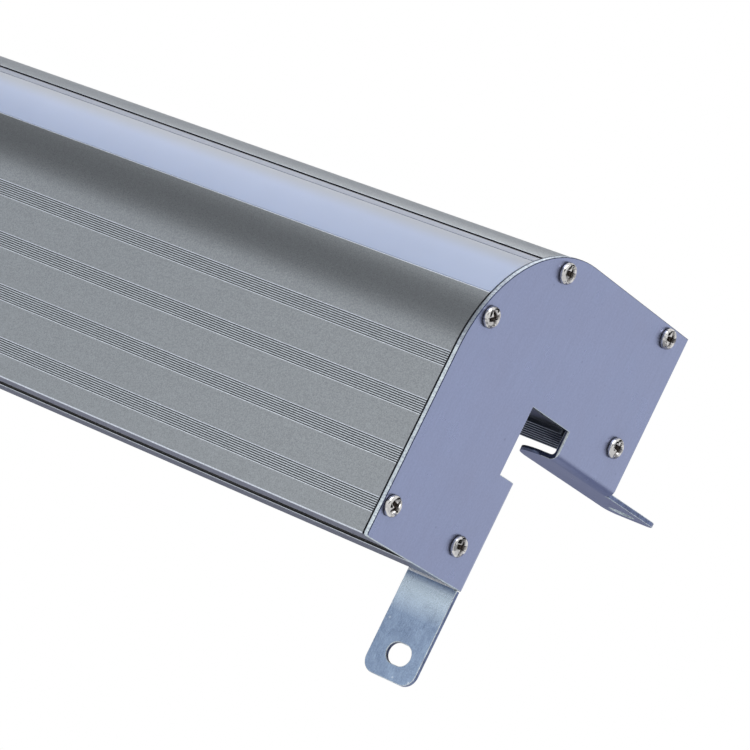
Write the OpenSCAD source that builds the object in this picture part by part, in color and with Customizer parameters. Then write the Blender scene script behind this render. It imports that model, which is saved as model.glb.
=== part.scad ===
// Outdoor wall washer light: an aluminium profile of L-shaped section with a milky light
// strip let into its rounded edge. A bent sheet plate closes each end, and its two ears
// grip a square building corner. X runs along the lamp, Y into the building and Z up.
// The origin lies on the edge of that corner, at the middle of the lamp's length.

/* [Lamp] */
// Length over the two end plates
lamp_length = 1000; // [500:10:1500]
// Width and height of the section, without the ears
section_size = 130; // [126:1:136]
// From the front face to the corner of the building
corner_reach = 69.2; // [68:0.2:71]
// Radius of the rounded edge
nose_radius = 54.4; // [52:0.2:57]

/* [Housing profile] */
// Width of a leg, without its cooling ribs
leg_width = 57; // [55:0.5:59]
// Thickness of the outer walls
wall = 2.6; // [2:0.1:3.2]
// How far the end plates stand proud of the profile
plate_lip = 0.3; // [0.1:0.1:0.8]
// Height of the cooling ribs on the back of a leg
rib_height = 2; // [1:0.2:4]
// Thickness of a cooling rib
rib_thick = 1.2; // [0.8:0.1:1.8]
// Distance from one rib to the next
rib_pitch = 6.4; // [5:0.2:6.8]
// Number of ribs on a leg, from its foot upwards
rib_count = 8; // [4:1:8]

/* [Fine grooves] */
// Groups of grooves on each flat outer wall
group_count = 4; // [2:1:4]
// Grooves in a group
groove_count = 7; // [3:1:9]
// Distance from one groove to the next
groove_pitch = 0.85; // [0.7:0.05:1]
// Width of a groove
groove_width = 0.35; // [0.25:0.05:0.5]
// Depth of a groove
groove_depth = 0.3; // [0.2:0.05:0.6]
// Distance from one group to the next
group_pitch = 19.5; // [17:0.5:20]
// Height of the first group above the foot
first_group = 11.7; // [9:0.1:14]

/* [Channel and rubber strip] */
// Width of the channel's mouth in the foot of a leg
mouth_width = 17; // [14:0.5:19]
// Width of the channel behind its lips
channel_width = 22; // [20:0.5:24]
// Thickness of the lips
lip_thick = 2.2; // [1.8:0.1:3]
// Depth of the channel from the outer face
channel_depth = 7; // [6:0.5:9]
// Thickness of the channel's own walls
channel_wall = 2; // [1.5:0.1:2.5]
// How far the rubber strip lies back between the lips
strip_recess = 0.6; // [0.2:0.1:1.2]

/* [Light strip] */
// Angle from the section's diagonal to the middle of the light strip
strip_turn = 3; // [0:0.5:5]
// Width of the opening in the rounded edge
window = 29.4; // [27:0.2:31]
// Thickness of the milky cover
cover_thick = 2.2; // [1.8:0.1:3]
// Gap between the cover and the upper side of its opening
upper_gap = 1.1; // [0.2:0.1:1.4]
// Gap between the cover and the lower side of its opening
lower_gap = 0.15; // [0.1:0.05:0.5]
// Fine line on the cover, from its middle
seam_place = 9.2; // [7:0.2:11]
// Width and depth of that line
seam_size = 0.35; // [0.2:0.05:0.6]
// Thickness of the silicone strips under the cover
seal_thick = 0.8; // [0.5:0.1:1.2]
// Width of the silicone strips
seal_width = 2.4; // [2:0.2:3.4]
// Length of the cover's snap legs
snap_length = 7.5; // [6:0.5:9]
// Thickness of the snap legs
snap_thick = 1.5; // [1.2:0.1:2]
// Width of the light trough
trough_width = 20; // [19:0.5:21]
// Depth of the light trough from the outer face
trough_depth = 26; // [22:1:28]
// Thickness of the trough's walls and ledges
trough_wall = 2.4; // [2:0.1:3]
// Thickness of the floor that carries the boards
floor_thick = 4; // [3:0.5:5]
// Thickness of the web behind that floor
web_thick = 4; // [3:0.5:5]

/* [Light boards] */
// Width of a board
board_width = 17; // [16:0.5:18]
// Thickness of a board
board_thick = 1.6; // [1:0.1:2]
// Gap between two boards
board_gap = 2; // [1:0.5:4]
// Free length of the trough before the first board
board_start = 16; // [14:1:24]
// Thickness of the heat tape under a board
tape_thick = 0.3; // [0.2:0.05:0.5]
// Light sources on each board
led_count = 24; // [12:1:30]
// Width of a light source
led_width = 3.5; // [3:0.1:4]
// Length of a light source
led_length = 2.8; // [2.4:0.1:3.2]
// Height of a light source
led_height = 0.9; // [0.6:0.1:1.4]
// Screws that hold each board
board_screw_count = 3; // [2:1:4]
// Diameter of the board screws
board_screw_d = 3; // [2.5:0.1:3]
// Width of the plugs on the boards
plug_width = 5; // [4:0.2:5]
// Height of the plugs on the boards
plug_height = 2.6; // [2:0.1:3.5]
// Length of a plug from one board to the next
link_length = 11; // [8:0.5:14]

/* [End plates] */
// Thickness of the sheet
sheet = 2; // [1.5:0.1:2.5]
// Outer radius of the bend at each ear
bend_radius = 3.5; // [3:0.1:4.5]
// How far the notch runs along each leg, from the corner
notch_out = 15.8; // [13:0.2:20]
// Width of an ear along the lamp
ear_width = 25; // [22:0.5:32]
// Step from the plate's face to the free part of an ear
ear_step = 2; // [0.5:0.1:3]
// How far an ear reaches past the leg
ear_drop = 41; // [34:1:50]
// Width of the relief slit at the end of a bend
relief = 0.3; // [0.2:0.1:1]
// Radius of the corners at an ear's tip
ear_corner = 5.5; // [3:0.5:8]
// Radius of an ear's corner at the notch
heel_radius = 20; // [12:1:22]
// Width of the slot in an ear
ear_slot_width = 8.5; // [5:0.1:9]
// Length of the slot in an ear
ear_slot_length = 11.5; // [10:0.1:14]
// From an ear's tip to the middle of its slot
ear_slot_tip = 10.5; // [9:0.5:14]
// From the plate's face to the middle of an ear's slot
ear_slot_in = 13.5; // [12:0.5:16]
// Radius of the plate's two outer corners
plate_corner = 1.5; // [0.5:0.1:3]
// Thickness of the gasket behind a plate
gasket_thick = 0.8; // [0.5:0.1:2]
// How far the gasket stays inside the profile's outline
gasket_inset = 0.3; // [0.1:0.1:1]

/* [End screws] */
// Diameter of the screws in the end plates
screw_d = 4; // [3.5:0.1:4.2]
// Length of those screws under the head
screw_length = 14; // [10:1:20]
// Diameter of their pan heads
head_d = 8; // [7:0.1:8.4]
// Height of their pan heads
head_height = 2.8; // [2:0.1:3.2]
// From the outer face to the screws at the foot
foot_screw_in = 5; // [4.7:0.1:6]
// From the back of the leg to the screws at the foot
back_screw_in = 5; // [4.7:0.1:6]
// From the foot to those screws
foot_screw_up = 14; // [12:0.2:16]
// Depth of the edge screws under the rounded face
nose_screw_in = 5.9; // [5.2:0.1:7]
// Direction of the edge screws from the centre of the rounding, above the level line
nose_screw_angle = 18.9; // [17:0.1:20]
// Wall round a screw port
port_wall = 1.8; // [1.4:0.1:2]

/* [Gear tray] */
// Thickness of the tray
tray_thick = 2; // [1.5:0.1:2.5]
// Height of the tray, as a share of the leg's back wall
tray_share = 0.6; // [0.58:0.01:0.66]
// Thickness of the rails that hold the tray
rail = 1.5; // [1.2:0.1:2]
// How far the rails cover the tray's edges
rail_cover = 3; // [2:0.2:3.4]
// Depth of the driver's case, from the tray
driver_depth = 30; // [24:1:34]
// Height of the driver's case, as a share of the room between the rails
driver_share = 0.97; // [0.85:0.01:1]
// Length of the driver's case
driver_length = 180; // [120:5:240]
// Thickness of the case's walls
driver_wall = 1.6; // [1.2:0.1:2.4]
// From the end of the profile to the terminal block
terminal_start = 3; // [2:0.5:6]
// Length of the terminal block
terminal_length = 26; // [22:1:34]
// Height of the terminal block
terminal_height = 18; // [17:1:22]
// Depth of the terminal block, from the tray
terminal_depth = 15; // [13:1:17]
// From the terminal block to the driver's foot plate
lead_span = 40; // [25:1:60]
// Diameter of the inner leads
lead_d = 2.4; // [1.6:0.1:2.6]

/* [Cable gland] */
// Diameter of the gland's thread
gland_d = 16; // [12:1:18]
// Size of its hexagons across the flats
gland_hex = 22; // [20:1:23]
// Middle of the gland above the foot of the leg
gland_up = 51; // [48:1:54]
// Middle of the gland, from the front face
gland_in = 21; // [18:1:23]
// Largest cable that it takes
gland_bore = 8; // [6:0.5:9]
// Length of the domed cap
cap_length = 15; // [12:0.5:20]

/* [Hidden] */

$fn = 48;
smooth = 180;          // facets of the large round faces
over = 1;              // overrun of a cut past the face it leaves
fit = 0.1;             // clearance between a screw and its hole
slide = 0.2;           // clearance of pieces that slide or snap together
clear = 0.4;           // clearance of a screw in a plate

foot_depth = section_size - corner_reach;        // building corner to the foot of a leg
nose_y = nose_radius - corner_reach;             // centre of the rounded edge
nose_z = -nose_y;
diagonal = 45;                                   // the legs are alike on both sides of it
nose_turn = diagonal + strip_turn;               // light strip's middle, from straight up
skin_radius = nose_radius - plate_lip;           // rounded face of the profile
leg_back = leg_width - corner_reach;             // back face of a leg
profile_length = lamp_length - 2 * (sheet + gasket_thick);
profile_end = profile_length / 2;
foot_face = plate_lip - foot_depth;              // lower face of the profile
front_face = plate_lip - corner_reach;           // front face of the profile
bite = wall / 2;                                 // how far joined shapes run into a wall
channel_place = leg_width / 2 - corner_reach;    // middle of the channel
channel_room = channel_depth - lip_thick;        // height of the channel behind its lips

cover_under = skin_radius - cover_thick;
ledge_top = cover_under - seal_thick;
floor_top = skin_radius - trough_depth;
floor_foot = floor_top - floor_thick;
snap_end = cover_under - snap_length;
barb = 1.2;                                      // height of the snap legs' barbs
catch = 0.9;                                     // reach of the barbs and of their ribs
snap_out = trough_width / 2 - catch - slide;     // outer face of a snap leg
web_root = (leg_width - bite - nose_radius) * sqrt(2);  // web's end in the walls' corner

screw_hole = screw_d + fit;
port_radius = screw_hole / 2 + port_wall;
board_count = 4;                                 // as many as their nodes above
board_length = (profile_length - 2 * board_start - (board_count - 1) * board_gap) / board_count;
board_side = board_width / 2 - board_screw_d;    // board screws, from the middle line
board_head_share = 1.8;                          // head's width, of the screw's diameter
head_rise_share = 0.6;                           // small heads' height, of that diameter
board_bottom = floor_top + tape_thick;
board_top = board_bottom + board_thick;

tray_face = leg_back - wall - slide - tray_thick;  // side of the tray with the gear on it
tray_height = tray_share * (foot_depth - leg_back);
tray_foot = foot_screw_up + port_radius + slide - foot_depth;  // just over the screw port
tray_top = tray_foot + tray_height;
driver_height = driver_share * (tray_height - 2 * rail_cover - 4 * slide);
gear_foot = tray_foot + rail_cover + 2 * slide;
terminal_x = terminal_start - profile_end;
terminal_step = terminal_height / 2;             // height of its front half
case_flange = 10;                                // foot plate at each end of the driver
driver_x = terminal_x + terminal_length + lead_span;
case_x = driver_x + case_flange;
case_screw_d = 3;
lid_thick = 1.2;
lid_lip = 1;                                     // rim that holds the lid
case_inner = driver_depth - driver_wall - lid_thick - lid_lip;
case_post = 7;                                   // corner posts for the lid screws
lid_screw_d = 2.5;
circuit_thick = 1.6;
circuit_gap = 4;                                 // height of the rib under the circuit board
lead_y = tray_face - terminal_depth * 3 / 4;     // leads leave the terminals here
feed_x = board_start / 2 - profile_end;          // where the feed lead goes up
feed_side = -(trough_width + web_thick) / 4;     // between the web and the trough's wall
feed_drop = 8;                                   // bend of the feed lead under the floor
feed_rise = 2;                                   // its other bend above the boards
grommet_d = 5;                                   // hole in the floor for the feed lead
grommet_rim = 0.8;

gland_y = gland_in - corner_reach;
gland_z = gland_up - foot_depth;
nut_thick = 4;
hex_thick = 5;
washer_thick = 1.5;
thread_spare = 2;                                // thread past the locknut
gland_wall = 1.5;                                // wall round the rubber sleeve
sleeve_d = gland_d - 2 * gland_wall;
hex_corner = gland_hex / cos(30);

// A section drawn with Y to the right and Z up, run along the lamp from one place
module along(from, length) {
    translate([from, 0, 0])
        rotate([90, 0, 90])
            linear_extrude(length)
                children();
}

// The section is the same on both sides of its diagonal
module both_legs() {
    children();
    mirror([1, 1])
        children();
}

// Both ends of the lamp, the near one as drawn
module far_side() {
    mirror([1, 0, 0])
        children();
}

// Section frame of the light strip: second axis straight out of the rounded edge
module nose_section() {
    translate([nose_y, nose_z])
        rotate(nose_turn)
            children();
}

// The same frame for solids: X along the lamp, Z straight out of the rounded edge
module nose_frame() {
    translate([0, nose_y, nose_z])
        rotate([nose_turn, 0, 0])
            children();
}

// Square with its side cut to a quarter circle, to round off a corner
module corner_cut(radius) {
    difference() {
        translate([-over, -over])
            square([radius + over, radius + over]);
        translate([radius, radius])
            circle(radius);
    }
}

// Outline of the section, drawn in by inset, with its inner corner at the given place
module outline(inset, corner) {
    difference() {
        translate([inset - corner_reach, inset - foot_depth])
            square(section_size - 2 * inset);
        translate([inset - corner_reach, corner_reach - inset])
            rotate(-90)
                corner_cut(nose_radius - inset, $fn = smooth);
        translate([corner, -section_size])
            square([section_size, section_size - corner]);
    }
}

// Places of the three end screws of one leg, seen in the section
function leg_screws() = [
    [foot_screw_in - corner_reach, foot_screw_up - foot_depth],
    [leg_back - back_screw_in, foot_screw_up - foot_depth],
    [
        nose_y - (nose_radius - nose_screw_in) * cos(nose_screw_angle),
        nose_z + (nose_radius - nose_screw_in) * sin(nose_screw_angle)
    ]
];

module at_leg_screws() {
    for (place = leg_screws())
        translate(place)
            children();
}

// Bar of the section, its middle at the given place on the first axis
module bar(middle, from, width, height) {
    translate([middle - width / 2, from])
        square([width, height]);
}

// Hooks that hold the tray against the back wall of a leg
module tray_rails() {
    hook = tray_face - slide - rail;
    reach = leg_back - bite - hook;
    translate([hook, tray_foot - slide - rail])
        square([reach, rail]);
    translate([hook, tray_foot - slide - rail])
        square([rail, rail_cover + rail]);
    translate([hook, tray_top + slide])
        square([reach, rail]);
    translate([hook, tray_top + slide - rail_cover])
        square([rail, rail_cover + rail]);
}

// Ribs, channel and screw ports that one leg adds to the skin
module leg_walls() {
    for (i = [0 : rib_count - 1])
        translate([leg_back - bite, foot_face + i * rib_pitch])
            square([rib_height + bite, rib_thick]);
    bar(channel_place, foot_face, channel_width + 2 * channel_wall, channel_depth + channel_wall);
    at_leg_screws()
        circle(port_radius);
}

// Channel, grooves and screw bores cut out of one leg
module leg_cuts() {
    bar(channel_place, foot_face - over, mouth_width, lip_thick + 2 * over);
    bar(channel_place, foot_face + lip_thick, channel_width, channel_room);
    for (g = [0 : group_count - 1], i = [0 : groove_count - 1])
        translate([
            front_face - over,
            first_group + g * group_pitch - foot_depth
                + (i - (groove_count - 1) / 2) * groove_pitch - groove_width / 2
        ])
            square([over + groove_depth, groove_width]);
    at_leg_screws()
        circle(d = screw_hole);
}

// Part of a ring round the nose's centre, between two places on the first axis
module ring_piece(inner, outer, from, width) {
    intersection() {
        difference() {
            circle(outer, $fn = smooth);
            circle(inner, $fn = smooth);
        }
        translate([from, 0])
            square([width, nose_radius]);
    }
}

// Trough, ledges and web of the light strip
module trough_walls() {
    ledge_foot = ledge_top - trough_wall;
    ledge_width = (window - trough_width) / 2 + trough_wall;
    port_side = (nose_radius - nose_screw_in) * cos(nose_screw_angle + nose_turn);
    flanks = [trough_wall, max(trough_wall, port_side - window / 2)];  // solid to the lower port
    nose_section() {
        for (side = [0, 1])
            mirror([side, 0]) {
                ring_piece(ledge_foot, ledge_top, trough_width / 2, ledge_width);
                ring_piece(ledge_foot, skin_radius - bite, window / 2, flanks[side]);
                intersection() {
                    circle(ledge_foot + bite, $fn = smooth);
                    translate([trough_width / 2, floor_foot])
                        square([trough_wall, nose_radius]);
                }
                translate([trough_width / 2 - catch, snap_end + barb + slide])
                    square([catch + bite, barb]);
            }
        bar(0, floor_foot, trough_width + 2 * trough_wall, floor_thick);
        bar(0, -web_root, web_thick, web_root + floor_foot + bite);
    }
}

module window_cut() {
    nose_section()
        ring_piece(ledge_top, nose_radius + over, -window / 2, window);
}

module housing_section() {
    difference() {
        union() {
            difference() {
                outline(plate_lip, leg_back);
                outline(plate_lip + wall, leg_back - wall);
                window_cut();
            }
            both_legs()
                leg_walls();
            tray_rails();
            trough_walls();
        }
        both_legs()
            leg_cuts();
    }
}

// Black rubber strip in the channel of the lower leg
module rubber_strip() {
    color("black")
        along(-profile_end, profile_length) {
            bar(channel_place, foot_face + strip_recess, mouth_width - 2 * slide, lip_thick);
            bar(
                channel_place,
                foot_face + lip_thick + slide,
                channel_width - 2 * slide,
                channel_room - 2 * slide
            );
        }
}

// The same strip in the rear of the upper leg
module rubber_strip_rear() {
    mirror([0, 1, 1])
        rubber_strip();
}

// Left end of each light board
function board_from(n) = board_start - profile_end + n * (board_length + board_gap);

// Something at every screw of board n, on alternate sides of the middle line
module at_board_screws(n) {
    for (i = [0 : board_screw_count - 1])
        translate([
            board_from(n) + board_length * (i + 1 / 2) / board_screw_count,
            board_side * (i % 2 == 0 ? 1 : -1),
            0
        ])
            children();
}

// Round cut through something that stands from one height up
module hole(from, height, diameter) {
    translate([0, 0, from - over])
        cylinder(h = height + 2 * over, d = diameter);
}

// Extruded profile with its drilled holes
module housing() {
    color("silver")
        difference() {
            along(-profile_end, profile_length)
                housing_section();
            nose_frame() {
                for (n = [0 : board_count - 1])
                    at_board_screws(n)
                        hole(floor_foot, floor_thick, board_screw_d + fit);
                translate([feed_x, feed_side, 0])
                    hole(floor_foot, floor_thick, grommet_d);
            }
        }
}

// Milky cover with two snap legs
module light_cover() {
    color("white")
        along(-profile_end, profile_length)
            nose_section() {
                difference() {
                    ring_piece(
                        cover_under,
                        skin_radius,
                        lower_gap - window / 2,
                        window - lower_gap - upper_gap
                    );
                    ring_piece(skin_radius - seam_size, nose_radius + over, seam_place, seam_size);
                }
                for (side = [0, 1])
                    mirror([side, 0]) {
                        intersection() {
                            circle(cover_under + cover_thick / 2, $fn = smooth);
                            translate([snap_out - snap_thick, snap_end])
                                square([snap_thick, snap_length + cover_thick]);
                        }
                        translate([snap_out - snap_thick, snap_end])
                            square([snap_thick + catch, barb]);
                    }
            }
}

// Silicone strip between the cover and a ledge
module cover_seal(side) {
    middle = (trough_width + window) / 4;
    color("dimgray")
        along(-profile_end, profile_length)
            nose_section()
                mirror([side, 0])
                    ring_piece(ledge_top, cover_under, middle - seal_width / 2, seal_width);
}

// Ear drawn flat: first axis from the plate's face inwards, second axis up
module ear_shape() {
    ear_end = ear_step + ear_width;
    tip = foot_depth + ear_drop;
    difference() {
        union() {
            translate([bend_radius, -foot_depth])
                square([ear_end - bend_radius, foot_depth - notch_out]);
            translate([ear_step, -tip])
                square([ear_width, ear_drop]);
        }
        translate([ear_step - over, -foot_depth - relief])
            square([bend_radius - ear_step + over, relief + over]);
        translate([ear_end, -notch_out])
            rotate(180)
                corner_cut(heel_radius);
        translate([ear_end, -tip])
            rotate(90)
                corner_cut(ear_corner);
        translate([ear_step, -tip])
            corner_cut(ear_corner);
        translate([ear_slot_in, ear_slot_tip - tip])
            ear_slot();
    }
}

// Slot in an ear, long way along the lamp
module ear_slot() {
    travel = ear_slot_length - ear_slot_width;
    translate([-travel / 2, -ear_slot_width / 2])
        square([travel, ear_slot_width]);
    for (end = [-travel / 2, travel / 2])
        translate([end, 0])
            circle(d = ear_slot_width);
}

// Upright ear with its bend, on the near plate
module ear() {
    translate([lamp_length / 2, -sheet, 0])
        rotate([90, 0, 180])
            linear_extrude(sheet)
                ear_shape();
    translate([lamp_length / 2 - bend_radius, -bend_radius, -foot_depth])
        intersection() {
            difference() {
                cylinder(h = foot_depth - notch_out, r = bend_radius);
                hole(0, foot_depth, 2 * (bend_radius - sheet));
            }
            cube([bend_radius + over, bend_radius + over, foot_depth]);
        }
}

// Flat part of an end plate, up to the bends
module plate_shape() {
    difference() {
        outline(0, 0);
        translate([leg_back, -notch_out])
            square([notch_out - leg_back, notch_out - leg_back]);
        both_legs() {
            translate([-corner_reach, -foot_depth])
                corner_cut(plate_corner);
            translate([-bend_radius, -foot_depth - over])
                square([bend_radius + over, foot_depth + over - notch_out]);
            at_leg_screws()
                circle(d = screw_d + clear);
        }
    }
}

// Bent end plate on the near end
module end_plate() {
    color("lightsteelblue") {
        along(lamp_length / 2 - sheet, sheet)
            plate_shape();
        ear();
        mirror([0, 1, 1])
            ear();
    }
}

module end_plate_far() {
    difference() {
        far_side()
            end_plate();
        at_gland()
            hole(-sheet, sheet, gland_d + clear);
    }
}

// Black sheet between a plate and the profile
module gasket() {
    inset = plate_lip + gasket_inset;
    color("black")
        along(profile_end, gasket_thick)
            difference() {
                outline(inset, leg_back - gasket_inset);
                both_legs()
                    at_leg_screws()
                        circle(d = screw_d + clear);
            }
}

module gasket_far() {
    difference() {
        far_side()
            gasket();
        at_gland()
            hole(-sheet - gasket_thick, gasket_thick, hex_corner + clear);
    }
}

// Pan head with a cross recess, its underside on the ground and its shank below
module pan_screw(diameter, length, head, height) {
    rise = height * 3 / 4;
    dome = (pow(head / 2, 2) + pow(rise, 2)) / (2 * rise);
    difference() {
        union() {
            intersection() {
                translate([0, 0, height - dome])
                    sphere(dome);
                cylinder(h = height, d = head);
            }
            translate([0, 0, -length])
                cylinder(h = length + height / 2, d = diameter);
        }
        for (turn = [0, 90])
            rotate(turn)
                translate([-head / 4, -head / 18, height / 2])
                    cube([head / 2, head / 9, height]);
    }
}

// Small screw whose head follows its diameter
module small_screw(diameter, length) {
    pan_screw(diameter, length, diameter * board_head_share, diameter * head_rise_share);
}

module end_screws() {
    color("lightgray")
        translate([lamp_length / 2, 0, 0])
            rotate([90, 0, 90])
                both_legs()
                    at_leg_screws()
                        pan_screw(screw_d, screw_length, head_d, head_height);
}

// Circuit board with its lamps facing out of the rounded edge
module light_board(n) {
    color("white")
        nose_frame()
            difference() {
                translate([board_from(n), -board_width / 2, board_bottom])
                    cube([board_length, board_width, board_thick]);
                at_board_screws(n)
                    hole(board_bottom, board_thick, board_screw_d + fit);
            }
}

module led_row(n) {
    pitch = board_length / led_count;
    color("gold")
        nose_frame()
            for (i = [0 : led_count - 1])
                translate([
                    board_from(n) + (i + 1 / 2) * pitch - led_length / 2,
                    -led_width / 2,
                    board_top
                ])
                    cube([led_length, led_width, led_height]);
}

module heat_tapes() {
    color("gainsboro")
        nose_frame()
            for (n = [0 : board_count - 1])
                difference() {
                    translate([board_from(n), -board_width / 2, floor_top])
                        cube([board_length, board_width, tape_thick]);
                    at_board_screws(n)
                        hole(floor_top, tape_thick, board_screw_d + clear);
                }
}

module board_screws() {
    color("lightgray")
        nose_frame()
            for (n = [0 : board_count - 1])
                at_board_screws(n)
                    translate([0, 0, board_top])
                        small_screw(board_screw_d, board_top - floor_foot - slide);
}

// Plugs from each board to the next, beside the light sources
module board_links() {
    color("white")
        nose_frame()
            for (n = [1 : board_count - 1])
                translate([
                    board_from(n) - board_gap / 2 - link_length / 2,
                    -board_side - plug_width / 2,
                    board_top
                ])
                    link_plug();
}

module link_plug() {
    groove = plug_height / 5;
    difference() {
        cube([link_length, plug_width, plug_height]);
        for (side = [1, 3])
            translate([-over, plug_width * side / 4 - groove / 2, plug_height - groove])
                cube([link_length + 2 * over, groove, groove + over]);
    }
}

// Plug at the start of the first board, where the feed lead ends
module feed_plug() {
    color("white")
        nose_frame()
            translate([board_from(0), feed_side - plug_width / 2, board_top])
                difference() {
                    cube([link_length / 2, plug_width, plug_height * 2]);
                    translate([link_length / 4, plug_width / 2, plug_height])
                        cylinder(h = plug_height + over, d = plug_width / 3);
                }
}

// Turns a solid that points up so that it stands on the tray, towards the front
module off_tray() {
    rotate([90, 0, 0])
        children();
}

// Sliding tray that carries the driver and the terminal block
module gear_tray() {
    length = profile_length - 2 * slide;
    color("lightsteelblue")
        difference() {
            translate([-length / 2, tray_face, tray_foot])
                cube([length, tray_thick, tray_height]);
            at_case_screws()
                hole(-tray_thick, tray_thick, case_screw_d + fit);
            at_terminal_screws()
                hole(-tray_thick, tray_thick, case_screw_d + fit);
        }
}

// Screw places in the driver's foot plates, on the tray's face
module at_case_screws() {
    for (
        x = [driver_x + case_flange / 2, case_x + driver_length + case_flange / 2],
        z = [gear_foot + driver_height / 4, gear_foot + driver_height * 3 / 4]
    )
        translate([x, tray_face, z])
            off_tray()
                children();
}

module at_terminal_screws() {
    for (side = [1, 3])
        translate([
            terminal_x + terminal_length * side / 4,
            tray_face,
            gear_foot + terminal_height * 3 / 4
        ])
            off_tray()
                children();
}

// Middles of the corner posts in the driver's case, on the tray's face
module at_case_posts() {
    corner = driver_wall + case_post / 2;
    for (
        x = [case_x + corner, case_x + driver_length - corner],
        z = [gear_foot + corner, gear_foot + driver_height - corner]
    )
        translate([x, tray_face, z])
            off_tray()
                children();
}

// Room inside the driver's case, without the posts and the rib under the circuit board
module case_room() {
    difference() {
        translate([case_x + driver_wall, tray_face - driver_depth - over, gear_foot + driver_wall])
            cube([
                driver_length - 2 * driver_wall,
                driver_depth + over - driver_wall,
                driver_height - 2 * driver_wall
            ]);
        at_case_posts()
            translate([-case_post / 2, -case_post / 2, 0])
                cube([case_post, case_post, case_inner + driver_wall]);
        translate([
            case_x,
            tray_face - driver_wall - circuit_gap,
            gear_foot + driver_height / 2 - case_post / 2
        ])
            cube([driver_length, circuit_gap + driver_wall, case_post]);
    }
}

// Open case, its floor on the tray and its mouth towards the front wall
module driver_case() {
    color("gray")
        difference() {
            union() {
                translate([case_x, tray_face - driver_depth, gear_foot])
                    cube([driver_length, driver_depth, driver_height]);
                translate([driver_x, tray_face - driver_wall, gear_foot])
                    cube([driver_length + 2 * case_flange, driver_wall, driver_height]);
            }
            case_room();
            at_case_posts()
                translate([0, 0, driver_wall])
                    cylinder(h = driver_depth, d = lid_screw_d + fit);
            at_case_screws()
                hole(0, driver_wall, case_screw_d + fit);
        }
}

// Circuit board of the driver with its coil, two capacitors and two switches
module driver_board() {
    ends = driver_wall + case_post + slide;
    sides = driver_wall + slide;
    height = driver_height - 2 * sides;
    length = driver_length - 2 * ends;
    room = case_inner - circuit_gap - circuit_thick;
    coil = min(height * 4 / 5, length / 7);
    part = min(height * 2 / 3, length / 10);
    color("seagreen")
        translate([case_x + ends, tray_face - driver_wall - circuit_gap, gear_foot + sides])
            off_tray() {
                cube([length, height, circuit_thick]);
                translate([length / 2, height / 2, 0])
                    cylinder(h = circuit_thick + room * 3 / 4, d = coil);
                for (place = [1, 2])
                    translate([length * place / 8, height / 2, 0])
                        cylinder(h = circuit_thick + room * 2 / 3, d = part);
                for (place = [6, 7])
                    translate([length * place / 8, height / 8, 0])
                        cube([part, height * 3 / 4, circuit_thick + room / 2]);
            }
}

module driver_lid() {
    rim = driver_wall + slide;
    color("gray")
        difference() {
            translate([case_x + rim, tray_face - driver_depth + lid_lip, gear_foot + rim])
                cube([driver_length - 2 * rim, lid_thick, driver_height - 2 * rim]);
            at_case_posts()
                hole(0, driver_depth, lid_screw_d + fit);
        }
}

module lid_screws() {
    color("lightgray")
        at_case_posts()
            translate([0, 0, driver_depth - lid_lip])
                small_screw(lid_screw_d, case_inner / 2);
}

module driver_screws() {
    color("lightgray")
        at_case_screws()
            translate([0, 0, driver_wall])
                small_screw(case_screw_d, driver_wall + tray_thick);
}

// Terminal block with a low front half and three wells in it
module terminal_block() {
    front = tray_face - terminal_depth;
    well = terminal_length / 5;
    color("whitesmoke")
        difference() {
            translate([terminal_x, front, gear_foot])
                cube([terminal_length, terminal_depth, terminal_height]);
            translate([terminal_x - over, front - over, gear_foot + terminal_step])
                cube([terminal_length + 2 * over, terminal_depth / 2 + over, terminal_step + over]);
            for (i = [0 : 2])
                translate([
                    terminal_x + terminal_length * (i + 1 / 2) / 3,
                    front + terminal_depth / 3,
                    gear_foot + terminal_step / 2
                ])
                    off_tray()
                        cylinder(h = terminal_depth / 3 + over, d = well);
            at_terminal_screws()
                hole(0, terminal_depth, case_screw_d + fit);
        }
}

module terminal_screws() {
    color("lightgray")
        at_terminal_screws()
            translate([0, 0, terminal_depth / 2])
                small_screw(case_screw_d, terminal_depth / 2 + tray_thick);
}

// Three leads from the terminal block to the end of the driver's case
module driver_leads() {
    color("firebrick")
        for (i = [0 : 2])
            translate([
                terminal_x + terminal_length,
                lead_y,
                gear_foot + terminal_step * (i + 1 / 2) / 3
            ])
                rotate([0, 90, 0])
                    cylinder(h = lead_span + case_flange, d = lead_d);
}

// A straight stretch of lead from one point to another
module lead_run(from, to) {
    span = to - from;
    translate(from)
        rotate([0, acos(span[2] / norm(span)), atan2(span[1], span[0])])
            cylinder(h = norm(span), d = lead_d);
}

// Point of the light strip's frame at the feed hole, at a height over the nose's centre
function over_feed(x, height) = [
    x,
    nose_y + feed_side * cos(nose_turn) - height * sin(nose_turn),
    nose_z + feed_side * sin(nose_turn) + height * cos(nose_turn)
];

// Lead from the terminal block through the floor to the first board
module feed_lead() {
    foot = gear_foot + terminal_step;
    route = [
        [feed_x, lead_y, foot],
        [feed_x, lead_y, foot + 2 * lead_d],
        over_feed(feed_x, floor_foot - feed_drop),
        over_feed(feed_x, board_top + feed_rise),
        over_feed(board_from(0), board_top + feed_rise)
    ];
    last = len(route) - 1;
    color("firebrick") {
        for (i = [1 : last])
            lead_run(route[i - 1], route[i]);
        for (i = [1 : last - 1])
            translate(route[i])
                sphere(d = lead_d + fit);
    }
}

module feed_grommet() {
    rim_d = grommet_d + 2 * grommet_rim;
    color("black")
        nose_frame()
            translate([feed_x, feed_side, floor_foot - grommet_rim])
                difference() {
                    union() {
                        cylinder(h = grommet_rim, d = rim_d);
                        cylinder(h = floor_thick + grommet_rim, d = grommet_d - fit);
                        translate([0, 0, floor_thick + grommet_rim])
                            cylinder(h = grommet_rim, d = rim_d);
                    }
                    hole(0, floor_thick + 2 * grommet_rim, lead_d + fit);
                }
}

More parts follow.
